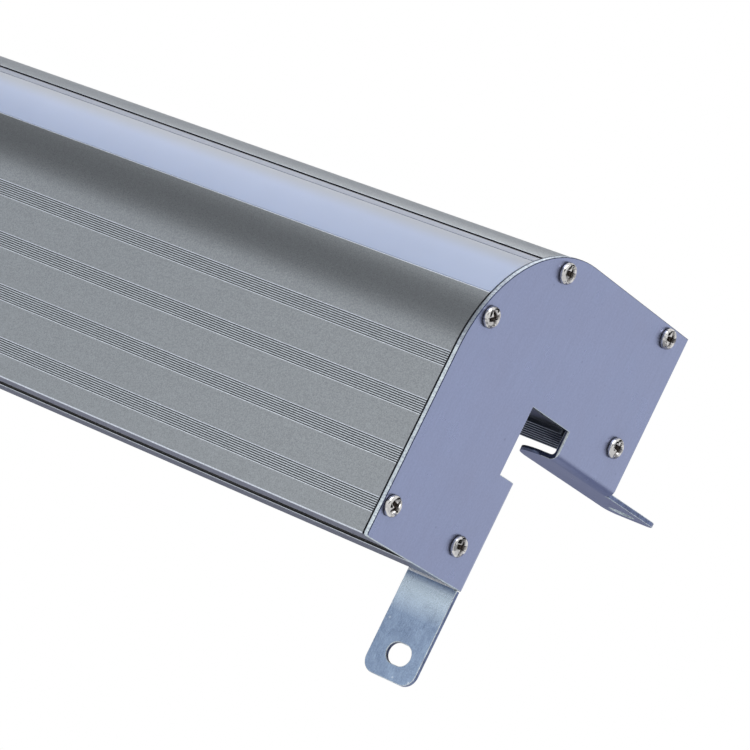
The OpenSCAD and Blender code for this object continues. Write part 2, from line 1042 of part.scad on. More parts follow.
// Something on the gland's axis, on the outer face of the far plate, pointing outwards
module at_gland() {
    translate([-lamp_length / 2, gland_y, gland_z])
        rotate([0, -90, 0])
            children();
}

module hexagon(height) {
    cylinder(h = height, d = hex_corner, $fn = 6);
}

// Gland body: hexagon outside, thread through the plate and into the cap
module gland_body() {
    reach = sheet + nut_thick + thread_spare;
    shoulder = washer_thick + hex_thick;
    color("black")
        at_gland()
            difference() {
                union() {
                    translate([0, 0, washer_thick])
                        hexagon(hex_thick);
                    translate([0, 0, -reach])
                        cylinder(h = reach + shoulder + cap_length / 2, d = gland_d);
                }
                hole(-reach, reach + shoulder, gland_bore + fit);
                translate([0, 0, shoulder])
                    cylinder(h = cap_length, d = sleeve_d + fit);
            }
}

module gland_washer() {
    color("dimgray")
        at_gland()
            difference() {
                cylinder(h = washer_thick, d = gland_hex);
                hole(0, washer_thick, gland_d + fit);
            }
}

module gland_locknut() {
    color("black")
        at_gland()
            translate([0, 0, -sheet - nut_thick])
                difference() {
                    hexagon(nut_thick);
                    hole(0, nut_thick, gland_d + fit);
                }
}

// Rubber sleeve that grips the cable
module gland_seal() {
    color("gray")
        at_gland()
            translate([0, 0, washer_thick + hex_thick])
                difference() {
                    cylinder(h = cap_length / 2, d = sleeve_d);
                    hole(0, cap_length / 2, gland_bore);
                }
}

// Cap nut with a domed end
module gland_cap() {
    skirt = cap_length * 3 / 5;
    color("black")
        at_gland()
            translate([0, 0, washer_thick + hex_thick + slide])
                difference() {
                    union() {
                        hexagon(skirt);
                        intersection() {
                            cylinder(h = cap_length, d = gland_hex);
                            translate([0, 0, cap_length - gland_hex * 3 / 4])
                                sphere(d = gland_hex * 3 / 2);
                        }
                    }
                    translate([0, 0, -over])
                        cylinder(h = cap_length / 2 + over, d = gland_d + fit);
                    hole(0, cap_length, gland_bore + fit);
                }
}

housing();
rubber_strip();  // rubber_strip_foot
rubber_strip_rear();
light_cover();
cover_seal(0);  // cover_seal_upper
cover_seal(1);  // cover_seal_lower
end_plate();  // end_plate_near
end_plate_far();
gasket();  // end_gasket_near
gasket_far();  // end_gasket_far
end_screws();  // end_screws_near
far_side() end_screws();  // end_screws_far
light_board(0);  // light_board_1
light_board(1);  // light_board_2
light_board(2);  // light_board_3
light_board(3);  // light_board_4
led_row(0);  // led_row_1
led_row(1);  // led_row_2
led_row(2);  // led_row_3
led_row(3);  // led_row_4
heat_tapes();
board_screws();
board_links();
feed_plug();
gear_tray();
driver_case();
driver_board();
driver_lid();
driver_screws();
lid_screws();
terminal_block();
terminal_screws();
driver_leads();
feed_lead();
feed_grommet();
gland_body();
gland_washer();
gland_locknut();
gland_seal();
gland_cap();
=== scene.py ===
import math

import bmesh
import bpy
from mathutils import Matrix, Vector


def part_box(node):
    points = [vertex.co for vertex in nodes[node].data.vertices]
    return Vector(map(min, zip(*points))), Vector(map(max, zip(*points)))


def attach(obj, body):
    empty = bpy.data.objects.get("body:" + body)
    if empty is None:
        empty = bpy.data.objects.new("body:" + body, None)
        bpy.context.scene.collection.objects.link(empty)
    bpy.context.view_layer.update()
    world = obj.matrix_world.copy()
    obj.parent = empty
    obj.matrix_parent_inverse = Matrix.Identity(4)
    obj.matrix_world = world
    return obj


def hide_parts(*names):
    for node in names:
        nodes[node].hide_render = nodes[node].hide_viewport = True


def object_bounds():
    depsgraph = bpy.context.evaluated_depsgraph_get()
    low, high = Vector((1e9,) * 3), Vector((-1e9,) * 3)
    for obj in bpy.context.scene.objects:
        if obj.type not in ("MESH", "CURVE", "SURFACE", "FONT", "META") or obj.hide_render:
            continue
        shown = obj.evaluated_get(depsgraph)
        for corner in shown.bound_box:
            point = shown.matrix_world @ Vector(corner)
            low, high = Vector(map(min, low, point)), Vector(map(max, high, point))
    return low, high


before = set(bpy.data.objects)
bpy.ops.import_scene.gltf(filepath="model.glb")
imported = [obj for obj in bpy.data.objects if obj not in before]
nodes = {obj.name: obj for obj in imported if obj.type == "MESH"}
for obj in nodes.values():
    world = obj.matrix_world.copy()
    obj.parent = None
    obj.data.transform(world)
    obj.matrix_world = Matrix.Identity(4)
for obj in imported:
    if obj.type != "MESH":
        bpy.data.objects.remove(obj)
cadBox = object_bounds()
scene = bpy.context.scene
mm = 0.001
weldGap = 2e-6  # points nearer than this are one
corners = ((-1, -1), (1, -1), (1, 1), (-1, 1))  # of a square
print("frame loaded,", len(nodes), "CAD nodes")


# small helpers for objects and meshes
def newObject(name, data):
    made = bpy.data.objects.new(name, data)
    scene.collection.objects.link(made)
    return made


def newPiece(name, points, edges=(), faces=()):
    mesh = bpy.data.meshes.new(name)
    mesh.from_pydata(points, edges, faces)
    return newObject(name, mesh)


def smoothPiece(name, work):
    for face in work.faces:
        face.smooth = True
    mesh = bpy.data.meshes.new(name)
    work.to_mesh(mesh)
    work.free()
    return newObject(name, mesh)


def handOver(piece, nodeName):
    # what the frame has to know of a piece that is built anew
    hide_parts(nodeName)
    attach(piece, "root")
    print(piece.name, "made,", len(piece.data.polygons), "faces")


def direction(turn):
    return Vector((math.cos(math.radians(turn)), math.sin(math.radians(turn))))


# camera, at the photo's angle
cameraValues = {
    "place": (1.29847909, -1.11868332, -0.14280860),
    "right": (0.73269156, 0.52039199, 0.43858323),
    "up": (-0.28954220, -0.34485308, 0.89288390),
    "forward": (-0.61589641, 0.78119686, 0.10199549),
    "lens": 177.4077,
    "sensor": 36,
    "clip": (0.05, 60),
}


def makeCamera(values):
    lens = bpy.data.cameras.new("photoCamera")
    lens.lens = values["lens"]
    lens.sensor_width = values["sensor"]
    lens.clip_start, lens.clip_end = values["clip"]
    camera = newObject("photoCamera", lens)
    axes = Matrix((values["right"], values["up"], [-part for part in values["forward"]]))
    camera.matrix_world = Matrix.Translation(values["place"]) @ axes.transposed().to_4x4()
    scene.camera = camera


makeCamera(cameraValues)


# small helpers for node trees
def addNode(tree, kind, settings=None, **sockets):
    # sockets go by name, or by number as i0, i1; each node sits to the right of what feeds it
    node = tree.nodes.new(kind)
    column = 0
    for name, value in (settings or {}).items():
        setattr(node, name, value)
    for name, value in sockets.items():
        socket = node.inputs[int(name[1:]) if name[1:].isdigit() else name]
        if isinstance(value, bpy.types.NodeSocket):
            tree.links.new(value, socket)
            column = max(column, value.node.location.x + 220)
        else:
            socket.default_value = value
    rows = sum(other.location.x == column for other in tree.nodes)
    node.location = (column, -200 * rows)
    return node


def newGroup(name, kind, inputs, outputs):
    # rows of name, kind of socket and first value
    tree = bpy.data.node_groups.new(name, kind)
    for label, socketKind, *first in inputs:
        socket = tree.interface.new_socket(label, in_out="INPUT",
                                           socket_type="NodeSocket" + socketKind)
        if first:
            socket.default_value = first[0]
    for label, socketKind in outputs:
        tree.interface.new_socket(label, in_out="OUTPUT", socket_type="NodeSocket" + socketKind)
    return tree, addNode(tree, "NodeGroupInput").outputs


def calc(tree, operation, *values, clamp=False):
    sockets = {"i%d" % number: value for number, value in enumerate(values)}
    settings = {"operation": operation, "use_clamp": clamp}
    return addNode(tree, "ShaderNodeMath", settings, **sockets).outputs[0]


def ranged(tree, value, low, high, start=0.0, stop=1.0, smooth=False):
    # goes from low to high while the value goes from start to stop
    settings = {"interpolation_type": "SMOOTHSTEP" if smooth else "LINEAR"}
    return addNode(tree, "ShaderNodeMapRange", settings, i0=value, i1=start, i2=stop,
                   i3=low, i4=high).outputs[0]


def noise(tree, place, scale, detail=2.0, roughness=0.5, distortion=0.0):
    return addNode(tree, "ShaderNodeTexNoise", Vector=place, Scale=scale, Detail=detail,
                   Roughness=roughness, Distortion=distortion).outputs[0]


# shader effects that several finishes share
def makeStreaks():
    # fine drawn lines, stretched by the vector Stretch
    tree, given = newGroup("streaks", "ShaderNodeTree", [
        ("Vector", "Vector"),
        ("Stretch", "Vector", (1, 1, 1)),
        ("Detail", "Float", 3.0),
        ("Contrast", "Float", 1.0),
    ], [("Tone", "Float"), ("Height", "Float")])
    coarseScale, coarseShare = 0.21, 0.35
    place = addNode(tree, "ShaderNodeVectorMath", {"operation": "MULTIPLY"},
                    i0=given["Vector"], i1=given["Stretch"]).outputs[0]
    fine = noise(tree, place, 1.0, given["Detail"], 0.62)
    coarse = noise(tree, place, coarseScale)
    both = calc(tree, "MULTIPLY_ADD", coarse, coarseShare, fine)
    centred = calc(tree, "SUBTRACT", both, (1 + coarseShare) / 2)
    tone = calc(tree, "MULTIPLY_ADD", centred, given["Contrast"], 0.5, clamp=True)
    addNode(tree, "NodeGroupOutput", Tone=tone, Height=both)
    return tree


def makeSpecks():
    # scattered small dots, in a share of the cells only
    tree, given = newGroup("specks", "ShaderNodeTree", [
        ("Vector", "Vector"),
        ("Scale", "Float", 400.0),
        ("Size", "Float", 0.2),
        ("Share", "Float", 0.2),
    ], [("Spots", "Float")])
    cells = addNode(tree, "ShaderNodeTexVoronoi", Vector=given["Vector"],
                    Scale=given["Scale"]).outputs
    parts = addNode(tree, "ShaderNodeSeparateColor", Color=cells["Color"]).outputs
    chosen = calc(tree, "LESS_THAN", parts[0], given["Share"])
    grown = calc(tree, "MULTIPLY", parts[1], given["Size"])
    inside = calc(tree, "LESS_THAN", cells["Distance"], grown)
    addNode(tree, "NodeGroupOutput", Spots=calc(tree, "MULTIPLY", inside, chosen))
    return tree


def makeClouds():
    # soft uneven tone, two sizes of noise on each other
    tree, given = newGroup("clouds", "ShaderNodeTree", [
        ("Vector", "Vector"),
        ("Scale", "Float", 40.0),
        ("Warp", "Float", 0.4),
    ], [("Tone", "Float")])
    finer, smallShare = 5.3, 0.4
    big = noise(tree, given["Vector"], given["Scale"], 3.0, 0.55, given["Warp"])
    smallScale = calc(tree, "MULTIPLY", given["Scale"], finer)
    small = noise(tree, given["Vector"], smallScale, roughness=0.6)
    mixed = calc(tree, "MULTIPLY_ADD", small, smallShare, big)
    addNode(tree, "NodeGroupOutput", Tone=ranged(tree, mixed, 0.0, 1.0, 0.5, 0.9))
    return tree


streaks = makeStreaks()
specks = makeSpecks()
clouds = makeClouds()
print("shader groups built")


# small helpers for finishes
def newMaterial(name):
    material = bpy.data.materials.new(name)
    material.use_nodes = True
    tree = material.node_tree
    tree.nodes.clear()
    return material, tree


def objectPlace(tree):
    return addNode(tree, "ShaderNodeTexCoord").outputs["Object"]


def attribute(tree, name, output):
    return addNode(tree, "ShaderNodeAttribute", {"attribute_name": name}).outputs[output]


def useGroup(tree, group, **sockets):
    return addNode(tree, "ShaderNodeGroup", {"node_tree": group}, **sockets).outputs


def mixColours(tree, factor, first, second):
    return addNode(tree, "ShaderNodeMix", {"data_type": "RGBA"},
                   i0=factor, i6=first, i7=second).outputs[2]


def tinted(colour, share):
    return tuple(min(1.0, part * share) for part in colour[:3]) + (1.0,)


def twoTone(tree, factor, colour, spread):
    # from darker to lighter than the colour, by the spread
    return mixColours(tree, factor, tinted(colour, 1 - spread), tinted(colour, 1 + spread))


def scaled(tree, colour, factor):
    return addNode(tree, "ShaderNodeVectorMath", {"operation": "SCALE"},
                   i0=colour, Scale=factor).outputs[0]


def grained(tree, colour, grain, spread):
    usual = (0.3, 0.7)  # where most of a noise's values lie
    return scaled(tree, colour, ranged(tree, grain, 1 - spread, 1 + spread, *usual))


def speckled(tree, colour, place, values):
    dots = useGroup(tree, specks, Vector=place, Scale=values["scale"], Size=values["size"],
                    Share=values["share"])[0]
    return mixColours(tree, ranged(tree, dots, 0.0, values["strength"]), colour, values["colour"])


def streaked(tree, place, values):
    return useGroup(tree, streaks, Vector=place, Stretch=values["lines"],
                    Detail=values["lineDetail"], Contrast=values["lineContrast"])


def clouded(tree, place, values):
    return useGroup(tree, clouds, Vector=place, Scale=values["patchScale"],
                    Warp=values["patchWarp"])[0]


def fineGrain(tree, place, values):
    return noise(tree, place, values["grainScale"], roughness=values["grainRoughness"])


def finishTree(tree, colour, metallic, roughness, height, bump, extras=None):
    # bump is its strength and its depth in metres
    relief = addNode(tree, "ShaderNodeBump", Strength=bump[0], Distance=bump[1], Height=height)
    shader = addNode(tree, "ShaderNodeBsdfPrincipled", Metallic=metallic, Roughness=roughness,
                     Normal=relief.outputs[0], **{"Base Color": colour}, **(extras or {}))
    addNode(tree, "ShaderNodeOutputMaterial", Surface=shader.outputs[0])


# finish of the drawn aluminium profile
profileFinish = {
    "colour": (0.325, 0.350, 0.374, 1),
    "lines": (90.0, 2200.0, 2200.0),
    "lineDetail": 3.0,
    "lineContrast": 1.3,
    "lineTone": 0.05,
    "grainScale": 2100.0,
    "grainRoughness": 0.75,
    "grainTone": 0.22,
    "dots": {"scale": 300.0, "size": 0.12, "share": 0.05, "strength": 0.2,
             "colour": (0.62, 0.63, 0.64, 1)},
    "roughness": (0.38, 0.27),
    "bump": (0.3, 0.00002),
    "kinds": {  # metallic and tint, in the order of the profile's material slots; the second copy's darker tint is painted shade
        "drawnAluminium": (0.85, (1, 1, 1, 1)),
        "paintedShadeAluminium": (0.85, (0.42, 0.42, 0.52, 1)),
        # less metallic copy, on which the lip's painted highlight and painted shade show
        "lipAluminium": (0.3, (1, 1, 1, 1)),
    },
}


def makeProfileFinish(name, values, metallic, tint):
    material, tree = newMaterial(name)
    place = objectPlace(tree)
    lines = streaked(tree, place, values)
    grain = fineGrain(tree, place, values)
    colour = twoTone(tree, lines["Tone"], values["colour"], values["lineTone"])
    # the shade attribute paints shade in the grooves, at the foot, the back and the gap, and
    # highlights on ridges, lines, corners and rib tips
    colour = addNode(tree, "ShaderNodeVectorMath", {"operation": "MULTIPLY"}, i0=colour,
                     i1=attribute(tree, "shade", "Vector")).outputs[0]
    colour = grained(tree, colour, grain, values["grainTone"])
    colour = speckled(tree, colour, place, values["dots"])
    height = calc(tree, "ADD", lines["Height"], grain)
    finishTree(tree, colour, metallic, ranged(tree, grain, *values["roughness"]), height,
               values["bump"], {"Specular Tint": tint})
    return material


# outer side of the bent sheet
faceFinish = {
    "colour": (0.268, 0.309, 0.482, 1),
    "lines": (900.0, 900.0, 90.0),
    "lineDetail": 3.0,
    "lineContrast": 1.2,
    "lineTone": 0.07,
    "patch": (0.305, 0.330, 0.490, 1),
    "patchScale": 22.0,
    "patchWarp": 0.6,
    "patchShare": 0.35,
    "grainScale": 1100.0,
    "grainRoughness": 0.7,
    "grainTone": 0.05,
    "dots": {"scale": 210.0, "size": 0.11, "share": 0.14, "strength": 0.35,
             "colour": (0.15, 0.16, 0.27, 1)},
    "roughness": (0.26, 0.34),
    "bump": (0.3, 0.00003),
    "metallic": 0.8,
}


def makeSheetFace(values):
    material, tree = newMaterial("satinSheet")
    place = objectPlace(tree)
    lines = streaked(tree, place, values)
    patches = clouded(tree, place, values)
    grain = fineGrain(tree, place, values)
    colour = twoTone(tree, lines["Tone"], values["colour"], values["lineTone"])
    colour = mixColours(tree, ranged(tree, patches, 0.0, values["patchShare"]), colour,
                        values["patch"])
    colour = grained(tree, colour, grain, values["grainTone"])
    colour = speckled(tree, colour, place, values["dots"])
    finishTree(tree, colour, values["metallic"], ranged(tree, patches, *values["roughness"]),
               lines["Height"], values["bump"])
    return material


# inner side of the bent sheet, seen on the ears; heights and places are in metres
earFinish = {
    "light": (0.350, 0.460, 0.630, 1),
    "dark": (0.175, 0.240, 0.375, 1),
    # painted highlight a little under the fold: its colour, its share, and the heights where it
    # rises and falls
    "top": (0.740, 0.880, 1.0, 1),
    "highlightShare": 0.85,
    "highlightSpan": (-0.0770, -0.0665),
    "highlightEnd": (-0.0638, -0.0613),
    # painted highlight line along the fold, at this height and half width
    "foldHighlight": (0.95, 0.97, 1.0, 1),
    "foldHeight": -0.0600,
    "foldHalf": 0.0009,
    # painted shade towards the tip of the upper ear
    "tipSpan": (0.0585, 0.0615),
    "tipShade": 0.4,
    "lines": (1500.0, 1500.0, 300.0),
    "lineDetail": 4.0,
    "lineContrast": 1.8,
    "lineShare": 0.55,
    "patchScale": 190.0,
    "patchWarp": 0.6,
    "grainScale": 1500.0,
    "grainRoughness": 0.7,
    "grainTone": 0.14,
    "dots": {"scale": 520.0, "size": 0.24, "share": 0.22, "strength": 0.5,
             "colour": (0.66, 0.74, 0.84, 1)},
    "roughness": (0.30, 0.20),
    "bump": (0.4, 0.00003),
    "metallic": 0.9,
}


def makeEarFace(values):
    # brushed zinc, with a painted highlight a little under the fold, a painted highlight line
    # along the fold and painted shade towards the tip of the upper ear
    material, tree = newMaterial("brushedZinc")
    place = objectPlace(tree)
    lines = streaked(tree, place, values)
    patches = clouded(tree, place, values)
    grain = fineGrain(tree, place, values)
    parts = addNode(tree, "ShaderNodeSeparateXYZ", Vector=place).outputs
    share = values["lineShare"]
    tone = calc(tree, "MULTIPLY_ADD", lines["Tone"], share,
                ranged(tree, patches, 0.0, 1 - share), clamp=True)
    paintedHighlight = calc(tree, "MULTIPLY", ranged(tree, parts[2], 0.0, 1.0, *values["highlightSpan"]),
                ranged(tree, parts[2], 1.0, 0.0, *values["highlightEnd"]))
    foldHighlightMask = calc(tree, "COMPARE", parts[2], values["foldHeight"], values["foldHalf"])
    colour = mixColours(tree, tone, values["dark"], values["light"])
    colour = mixColours(tree, ranged(tree, paintedHighlight, 0.0, values["highlightShare"]), colour, values["top"])
    colour = speckled(tree, colour, place, values["dots"])
    colour = mixColours(tree, foldHighlightMask, colour, values["foldHighlight"])
    colour = grained(tree, colour, grain, values["grainTone"])
    colour = scaled(tree, colour,
                    ranged(tree, parts[1], 1.0, values["tipShade"], *values["tipSpan"]))
    finishTree(tree, colour, values["metallic"], ranged(tree, tone, *values["roughness"]),
               lines["Height"], values["bump"])
    return material


# cut edges of the sheet, one copy per kind, light ones as painted highlight and dark ones as
# painted shade: material, colour, metallic and, where it differs, the colour of the outer half of
# the thickness, a painted highlight line
edgeFinish = {
    "kinds": {
        "bright": ("cutEdge", (0.620, 0.700, 0.840, 1), 0.4),
        "shade": ("foldedEdge", (0.030, 0.040, 0.095, 1), 0.9),
        "arc": ("arcEdge", (0.580, 0.650, 0.780, 1), 0.9),
        "band": ("bandEdge", (0.135, 0.170, 0.300, 1), 0.9),
        "notch": ("notchEdge", (0.030, 0.040, 0.095, 1), 0.3, (0.90, 0.97, 1.0, 1)),
    },
    "outerHalf": (0.4990, 0.4994),
    "lines": (700.0, 1300.0, 1300.0),
    "lineDetail": 3.0,
    "lineContrast": 2.6,
    "lineTone": 0.4,
    "patchScale": 120.0,
    "patchWarp": 0.5,
    "patchShare": 0.3,
    "roughness": (0.42, 0.28),
    "bump": (0.5, 0.00006),
}


def makeCutEdge(values, name, shade, metallic, outer=None):
    # sheared edge with short marks; its colour is painted highlight on the light kinds and
    # painted shade on the dark ones, and the outer colour paints a highlight line on the outer
    # half
    material, tree = newMaterial(name)
    place = objectPlace(tree)
    marks = streaked(tree, place, values)
    patches = clouded(tree, place, values)
    colour = twoTone(tree, marks["Tone"], shade, values["lineTone"])
    colour = mixColours(tree, ranged(tree, patches, 0.0, values["patchShare"]), colour,
                        tinted(shade, 1 - values["lineTone"]))
    if outer is not None:
        parts = addNode(tree, "ShaderNodeSeparateXYZ", Vector=place).outputs
        far = calc(tree, "ABSOLUTE", parts[0])
        colour = mixColours(tree, ranged(tree, far, 0.0, 1.0, *values["outerHalf"]), colour,
                            outer)
    finishTree(tree, colour, metallic, ranged(tree, marks["Tone"], *values["roughness"]),
               marks["Height"], values["bump"])
    return material


# milky light cover; its layers paint it greyer and darker towards the edge by the gap, and black
# at its rim there, as painted shade; each layer has its colour, the places in mm from the middle
# of the strip where it starts and where it is full, and whether it comes in softly
coverFinish = {
    "colour": (0.392, 0.458, 0.628, 1),
    "patchTone": 0.03,
    "patchScale": 9.0,
    "patchWarp": 0.3,
    "grainScale": 900.0,
    "layers": [
        ((0.335, 0.362, 0.425, 1), -1.2, 8.3, True),
        ((0.256, 0.285, 0.365, 1), 9.3, 9.5, False),
        # painted shade: black at the rim beside the gap
        ((0.012, 0.012, 0.016, 1), 12.95, 13.05, False),
    ],
    "roughness": (0.26, 0.36),
    "bump": (0.15, 0.00002),
    "light": {"IOR": 1.49, "Subsurface Weight": 0.25, "Subsurface Scale": 0.6,
              "Subsurface Radius": (0.004, 0.005, 0.006)},
}


def makeMilkyFinish(values):
    material, tree = newMaterial("milkyAcrylic")
    place = objectPlace(tree)
    patches = clouded(tree, place, values)
    fine = noise(tree, place, values["grainScale"])
    across = attribute(tree, "across", "Fac")
    colour = twoTone(tree, patches, values["colour"], values["patchTone"])
    for layer, start, full, soft in values["layers"]:
        colour = mixColours(tree, ranged(tree, across, 0.0, 1.0, start, full, soft), colour,
                            layer)
    finishTree(tree, colour, 0.0, ranged(tree, fine, *values["roughness"]), fine,
               values["bump"], values["light"])
    return material


# plated screws, with painted dark reflections in patches and painted shade inside the cross and
# under the head
screwFinish = {
    "colour": (0.64, 0.63, 0.625, 1),
    "tone": 0.15,
    "paintedDarkReflection": (0.17, 0.17, 0.18, 1),
    "paintedDarkReflectionShare": 0.75,
    "paintedDarkReflectionSpan": (0.52, 0.64),
    "cross": (0.050, 0.040, 0.036, 1),
    "grainScale": 1300.0,
    "reliefAndReflectionScale": 420.0,
    "reliefAndReflectionWarp": 0.6,
    "roughness": (0.08, 0.25),
    "bump": (1.0, 0.0003),
}


def makeScrewFinish(values):
    material, tree = newMaterial("platedSteel")
    place = objectPlace(tree)
    fine = noise(tree, place, values["grainScale"])
    reliefAndReflectionNoise = noise(tree, place, values["reliefAndReflectionScale"], 1.0, distortion=values["reliefAndReflectionWarp"])
    # the cross attribute is painted shade, in the recess and under the head
    cross = attribute(tree, "cross", "Fac")
    # painted dark reflections in patches, from the same noise as the relief
    paintedDarkReflectionMask = ranged(tree, reliefAndReflectionNoise, 0.0, values["paintedDarkReflectionShare"], *values["paintedDarkReflectionSpan"], smooth=True)
    colour = twoTone(tree, fine, values["colour"], values["tone"])
    colour = mixColours(tree, paintedDarkReflectionMask, colour, values["paintedDarkReflection"])
    colour = mixColours(tree, cross, colour, values["cross"])
    finishTree(tree, colour, 1.0, ranged(tree, cross, *values["roughness"]), reliefAndReflectionNoise,
               values["bump"])
    return material


# plain finishes: grain and patch are scales of noise, depth is that of the grain in metres
plainFinishes = {
    "polishedSteel": dict(colour=(0.66, 0.64, 0.62, 1), roughness=0.16, metallic=1.0,
                          grain=1400.0, depth=0.00001, tone=0.06),
    "blackRubber": dict(colour=(0.010, 0.010, 0.012, 1), roughness=0.85, grain=1200.0,
                        depth=0.00005, tone=0.25, shine=0.08),
    "clearSilicone": dict(colour=(0.50, 0.51, 0.52, 1), roughness=0.45, grain=700.0, tone=0.08),
    "blackNylon": dict(colour=(0.022, 0.022, 0.024, 1), roughness=0.42, grain=1500.0,
                       depth=0.00004, tone=0.2),
    "grayRubber": dict(colour=(0.10, 0.10, 0.10, 1), roughness=0.6, depth=0.00005, tone=0.2),
    "boardLacquer": dict(colour=(0.80, 0.80, 0.78, 1), roughness=0.38, grain=600.0,
                         depth=0.00001, tone=0.05),
    "lightSource": dict(colour=(0.85, 0.62, 0.12, 1), roughness=0.3, grain=2200.0, tone=0.15),
    "whitePlastic": dict(colour=(0.78, 0.77, 0.73, 1), roughness=0.4, grain=1000.0, tone=0.06),
    "driverMetal": dict(colour=(0.36, 0.37, 0.38, 1), roughness=0.42, metallic=0.9,
                        grain=700.0, depth=0.00003),
    "greenBoard": dict(colour=(0.02, 0.16, 0.07, 1), roughness=0.35, grain=500.0, tone=0.2),
    "redLead": dict(colour=(0.42, 0.03, 0.02, 1), roughness=0.4),
    "zincTray": dict(colour=(0.46, 0.48, 0.52, 1), roughness=0.36, metallic=0.9, grain=400.0,
                     depth=0.00003, tone=0.14, patch=30.0),
}


def makeFinish(name, colour, roughness, metallic=0.0, grain=900.0, depth=0.00002, tone=0.12,
               patch=60.0, shine=0.5):
    warp, lightest, roughSpread, strength = 0.4, 1.6, 0.15, 0.5
    material, tree = newMaterial(name)
    place = objectPlace(tree)
    fine = noise(tree, place, grain, 3.0, 0.6)
    patches = useGroup(tree, clouds, Vector=place, Scale=patch, Warp=warp)[0]
    shade = twoTone(tree, patches, colour, tone)
    shade = mixColours(tree, ranged(tree, fine, 0.0, tone), shade, tinted(colour, lightest))
    rough = ranged(tree, patches, roughness * (1 - roughSpread),
                   min(1.0, roughness * (1 + roughSpread)))
    finishTree(tree, shade, metallic, rough, fine, (strength, depth),
               {"Specular IOR Level": shine})
    return material


profileMetals = [makeProfileFinish(name, profileFinish, *kind)
                 for name, kind in profileFinish["kinds"].items()]
sheetFinishes = {"outer": makeSheetFace(faceFinish), "inner": makeEarFace(earFinish)}
for side, kind in edgeFinish["kinds"].items():
    sheetFinishes[side] = makeCutEdge(edgeFinish, *kind)
milkyCover = makeMilkyFinish(coverFinish)
screwSteel = makeScrewFinish(screwFinish)
finishes = {name: makeFinish(name, **values) for name, values in plainFinishes.items()}
print("finishes built")


# the nodes that show their CAD meshes
dressed = {
    "clearSilicone": ["cover_seal_upper", "cover_seal_lower", "heat_tapes"],
    "polishedSteel": ["board_screws", "driver_screws", "lid_screws", "terminal_screws"],
    "whitePlastic": ["board_links", "feed_plug", "terminal_block"],
    "zincTray": ["gear_tray"],
    "driverMetal": ["driver_case", "driver_lid"],
    "greenBoard": ["driver_board"],
    "redLead": ["driver_leads", "feed_lead"],
    "blackRubber": ["feed_grommet"],
    "blackNylon": ["gland_body", "gland_locknut", "gland_cap"],
    "grayRubber": ["gland_washer", "gland_seal"],
    "boardLacquer": ["light_board_%d" % number for number in range(1, 5)],
    "lightSource": ["led_row_%d" % number for number in range(1, 5)],
}
for finishName, nodeNames in dressed.items():
    for nodeName in nodeNames:
        nodes[nodeName].data.materials.clear()
        nodes[nodeName].data.materials.append(finishes[finishName])


# long pieces: the section is read from the CAD end face and run along the lamp; lengths are
# in mm and angles in degrees
sweepValues = {
    "noseCentre": (-14.8, 14.8),
    "stripTurn": 48.0,
    "arcStep": 1.5,
    "arcLeast": 45.0,  # only arcs of the nose are larger
    "arcSlack": 0.004,
    "arcTurn": 14.0,
    "cornerTurn": 35.0,
    "cornerSteps": 3,
    "cornerShare": 0.3,
    "margin": 0.25,
    "crease": 50.0,
}


def cadCopy(nodeName, keenCorner=None, reach=0.0):
    # CAD mesh with its points joined; points near the keen corner move onto it first
    work = bmesh.new()
    work.from_mesh(nodes[nodeName].data)
    for vertex in work.verts:
        if keenCorner is not None and (vertex.co.yz - keenCorner).length < reach:
            vertex.co.yz = keenCorner
    bmesh.ops.remove_doubles(work, verts=work.verts, dist=weldGap)
    return work


def endLoops(nodeName):
    # closed outlines of the end face, in mm, Y to the right and Z up
    work = cadCopy(nodeName)
    endX = max(vertex.co.x for vertex in work.verts)
    uses = {}
    for face in work.faces:
        if all(abs(vertex.co.x - endX) < weldGap for vertex in face.verts):
            for edge in face.edges:
                uses[edge] = uses.get(edge, 0) + 1
    links = {}
    for edge, count in uses.items():
        if count == 1:
            a, b = edge.verts
            links.setdefault(a.index, []).append(b.index)
            links.setdefault(b.index, []).append(a.index)
    spots = {v.index: (v.co.y / mm, v.co.z / mm) for v in work.verts if v.index in links}
    work.free()
    loops = []
    while links:
        first = min(links)
        loop, last, here = [first], None, first
        while True:
            following = [index for index in links[here] if index != last]
            last, here = here, following[0]
            if here == first:
                break
            loop.append(here)
        for index in loop:
            del links[index]
        loops.append([Vector(spots[index]) for index in loop])
    return loops


def tidyLoop(loop, flat=1e-4):
    # drops points on a straight stretch
    kept = []
    for i, here in enumerate(loop):
        a, b = here - loop[i - 1], loop[(i + 1) % len(loop)] - here
        if a.length >= flat and abs(a.x * b.y - a.y * b.x) >= flat * a.length * b.length:
            kept.append(here)
    return kept


def refineArcs(loop, values):
    # more points where two neighbours lie on one circle round the nose's centre
    middle = Vector(values["noseCentre"])
    made = []
    for i, here in enumerate(loop):
        made.append(here)
        a, b = here - middle, loop[(i + 1) % len(loop)] - middle
        if a.length < values["arcLeast"] or abs(a.length - b.length) > values["arcSlack"]:
            continue
        turn = math.degrees(a.angle_signed(b))
        if values["arcStep"] <= abs(turn) <= values["arcTurn"]:
            count = math.ceil(abs(turn) / values["arcStep"])
            for k in range(1, count):
                made.append(middle + Matrix.Rotation(math.radians(-turn * k / count), 2) @ a)
    return made


